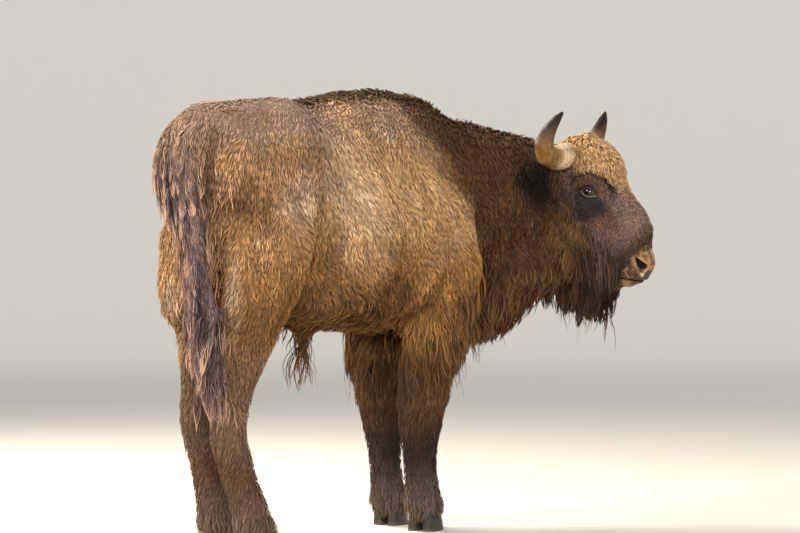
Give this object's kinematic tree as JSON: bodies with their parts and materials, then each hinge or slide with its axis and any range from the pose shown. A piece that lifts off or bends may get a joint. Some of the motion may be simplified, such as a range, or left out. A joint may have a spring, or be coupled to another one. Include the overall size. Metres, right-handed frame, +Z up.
{
  "type": "wisent",
  "caption": "Life-size standing wisent: woolly brown coat, high shoulders, short curved horns, long beard and mane, tufted tail, looking back over its right side.",
  "frame": {"origin": "middle of the whole animal's box, on the floor under it", "axes": "+X the way the trunk faces, +Y the animal's left, +Z up; the head is turned towards -Y"},
  "size_m": [2.5164, 0.9707, 1.675],
  "materials": {
    "body_coat": "woolly tan-brown hair, matt",
    "dark_coat": "dark brown hair with reddish tips, matt",
    "leg_coat": "short brown hair, matt",
    "long_hair": "long hanging locks, slight sheen",
    "horn": "worn horn, satin, pale at the base and dark at the tip",
    "hoof": "worn horn, dull",
    "eye": "wet and glossy, near black"
  },
  "bodies": {
    "root": {"beard": "long_hair", "dewclaw_fore_left_inner": "hoof", "dewclaw_fore_left_outer": "hoof", "dewclaw_fore_right_inner": "hoof", "dewclaw_fore_right_outer": "hoof", "dewclaw_hind_left_inner": "hoof", "dewclaw_hind_left_outer": "hoof", "dewclaw_hind_right_inner": "hoof", "dewclaw_hind_right_outer": "hoof", "ear_left": "dark_coat", "ear_right": "dark_coat", "eye_left": "eye", "eye_right": "eye", "head": "dark_coat", "hoof_fore_left_inner": "hoof", "hoof_fore_left_outer": "hoof", "hoof_fore_right_inner": "hoof", "hoof_fore_right_outer": "hoof", "hoof_hind_left_inner": "hoof", "hoof_hind_left_outer": "hoof", "hoof_hind_right_inner": "hoof", "hoof_hind_right_outer": "hoof", "horn_left": "horn", "horn_right": "horn", "leg_fore_left": "leg_coat", "leg_fore_right": "leg_coat", "leg_hind_left": "leg_coat", "leg_hind_right": "leg_coat", "neck": "dark_coat", "sheath_tuft": "long_hair", "tail": "body_coat", "tail_tuft": "long_hair", "throat_mane": "long_hair", "trunk": "body_coat"}
  },
  "joints": []
}
